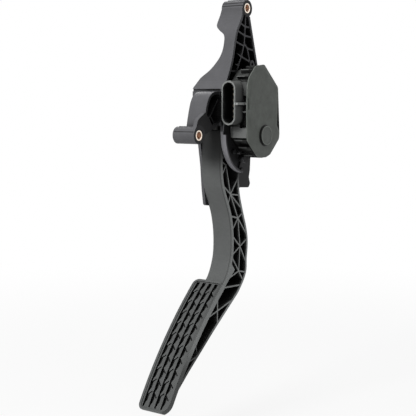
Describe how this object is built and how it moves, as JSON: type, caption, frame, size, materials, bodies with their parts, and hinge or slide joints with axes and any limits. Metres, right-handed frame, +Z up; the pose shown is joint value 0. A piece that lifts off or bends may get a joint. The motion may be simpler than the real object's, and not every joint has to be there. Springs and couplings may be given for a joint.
{
  "type": "accelerator pedal",
  "caption": "Hinged accelerator pedal: ribbed lever with a moulded foot pad, bracket housing with two lateral mounting bores, return springs and a side-mounted position sensor with a socket.",
  "frame": {"origin": "middle of the upper mounting bore, on its axis", "axes": "+X across the pedal towards the sensor, -Y towards the driver, +Z up"},
  "size_m": [0.0629, 0.1612, 0.3716],
  "materials": {
    "housing_plastic": "satin black, glass-filled",
    "lever_plastic": "satin black, glass-filled",
    "sensor_plastic": "satin black",
    "cover_plastic": "fine-grained dark grey",
    "bush_brass": "machined",
    "bearing_plastic": "natural acetal",
    "stop_rubber": "matt",
    "seal_rubber": "matt",
    "seat_plastic": "satin",
    "shoe_plastic": "satin",
    "spring_steel": "drawn wire",
    "shaft_steel": "ground",
    "screw_steel": "zinc plated",
    "board_laminate": "solder mask",
    "chip_plastic": "moulded",
    "blade_metal": "tinned brass",
    "magnet_ferrite": "ferrite"
  },
  "bodies": {
    "bracket": {"housing": "housing_plastic", "upper_bush": "bush_brass", "front_bush": "bush_brass", "left_bearing": "bearing_plastic", "right_bearing": "bearing_plastic", "idle_stop": "stop_rubber", "full_stop": "stop_rubber", "spring_seat": "seat_plastic", "friction_shoe": "shoe_plastic", "outer_spring": "spring_steel", "inner_spring": "spring_steel", "sensor_body": "sensor_plastic", "shaft_seal": "stop_rubber", "sensor_screws": "screw_steel", "circuit_board": "board_laminate", "sensor_chips": "chip_plastic", "connector_blades": "blade_metal", "cover_seal": "seal_rubber", "sensor_cover": "cover_plastic", "pivot_cap": "cover_plastic"},
    "pedal": {"pedal_lever": "lever_plastic", "pivot_shaft": "shaft_steel", "shaft_clip": "screw_steel", "sensor_rotor": "seat_plastic", "rotor_magnet": "magnet_ferrite"}
  },
  "joints": [
    {"name": "pedal_pivot", "type": "hinge", "parent": "bracket", "child": "pedal", "pos_m": [-0.002, -0.003, -0.118], "axis": [1, 0, 0], "range_deg": [0, 16], "stiffness_Nm_per_rad": 18, "springref_deg": -16.04, "deforming": ["outer_spring", "inner_spring"]}
  ]
}
